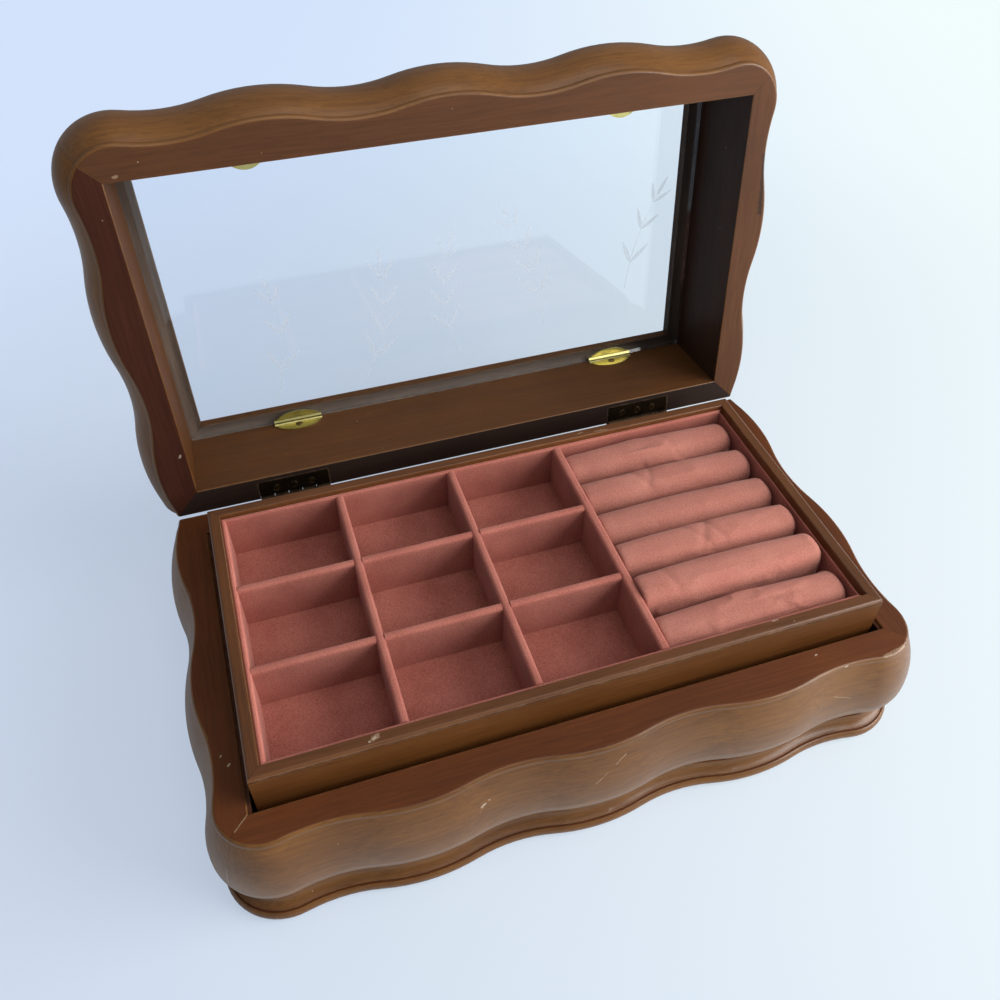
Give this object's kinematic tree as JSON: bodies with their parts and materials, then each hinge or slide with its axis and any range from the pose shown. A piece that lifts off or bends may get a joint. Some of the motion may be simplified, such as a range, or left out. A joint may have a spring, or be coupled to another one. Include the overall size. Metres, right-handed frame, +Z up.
{
  "type": "jewelry box",
  "caption": "Serpentine-edged wooden jewelry box with a hinged glass lid and a lift-out flocked tray of compartments and ring rolls over a lined well.",
  "frame": {"origin": "on the underside felt, under the middle of the tray's plan", "axes": "+X to the right along the front, +Y to the hinges at the back, +Z up; the lid is open at rest"},
  "size_m": [0.2976, 0.2391, 0.2229],
  "materials": {
    "stained_wood": "satin lacquer over walnut stain",
    "inner_wood": "stained, unpolished",
    "flock": "dusty pink flocked card",
    "roll_cover": "dusty pink flocked cloth over foam",
    "felt": "brown felt",
    "glass": "clear float glass, lightly etched",
    "brass": "bright brass plate"
  },
  "bodies": {
    "base": {"base_front_rail": "stained_wood", "base_hinge_screws": "brass", "base_left_rail": "stained_wood", "base_plinth": "stained_wood", "base_rear_rail": "stained_wood", "base_right_rail": "stained_wood", "front_tray_ledge": "inner_wood", "left_guide_strip": "inner_wood", "left_hinge_base_leaf": "brass", "left_hinge_pin": "brass", "rear_tray_ledge": "inner_wood", "right_guide_strip": "inner_wood", "right_hinge_base_leaf": "brass", "right_hinge_pin": "brass", "underside_felt": "felt", "well_floor_lining": "flock"},
    "lid": {"clip_screws": "brass", "front_left_glass_clip": "brass", "front_right_glass_clip": "brass", "left_hinge_lid_leaf": "brass", "lid_front_rail": "stained_wood", "lid_glass": "glass", "lid_hinge_screws": "brass", "lid_left_rail": "stained_wood", "lid_rear_rail": "stained_wood", "lid_right_rail": "stained_wood", "rear_left_glass_clip": "brass", "rear_right_glass_clip": "brass", "right_hinge_lid_leaf": "brass"},
    "tray": {"front_long_divider": "flock", "left_cross_divider": "flock", "rear_long_divider": "flock", "right_cross_divider": "flock", "ring_partition": "flock", "ring_roll_1": "roll_cover", "ring_roll_2": "roll_cover", "ring_roll_3": "roll_cover", "ring_roll_4": "roll_cover", "ring_roll_5": "roll_cover", "ring_roll_6": "roll_cover", "tray_floor_board": "inner_wood", "tray_floor_lining": "flock", "tray_front_lining": "flock", "tray_front_wall": "stained_wood", "tray_left_lining": "flock", "tray_left_wall": "stained_wood", "tray_rear_lining": "flock", "tray_rear_wall": "stained_wood", "tray_right_lining": "flock", "tray_right_wall": "stained_wood"}
  },
  "joints": [
    {"name": "lid_hinge", "type": "hinge", "parent": "base", "child": "lid", "pos_m": [0, 0.0812, 0.0542], "axis": [1, 0, 0], "range_deg": [0, 96.7]},
    {"name": "tray_lift", "type": "slide", "parent": "base", "child": "tray", "axis": [0, 0, 1], "range_m": [0, 0.022]}
  ]
}
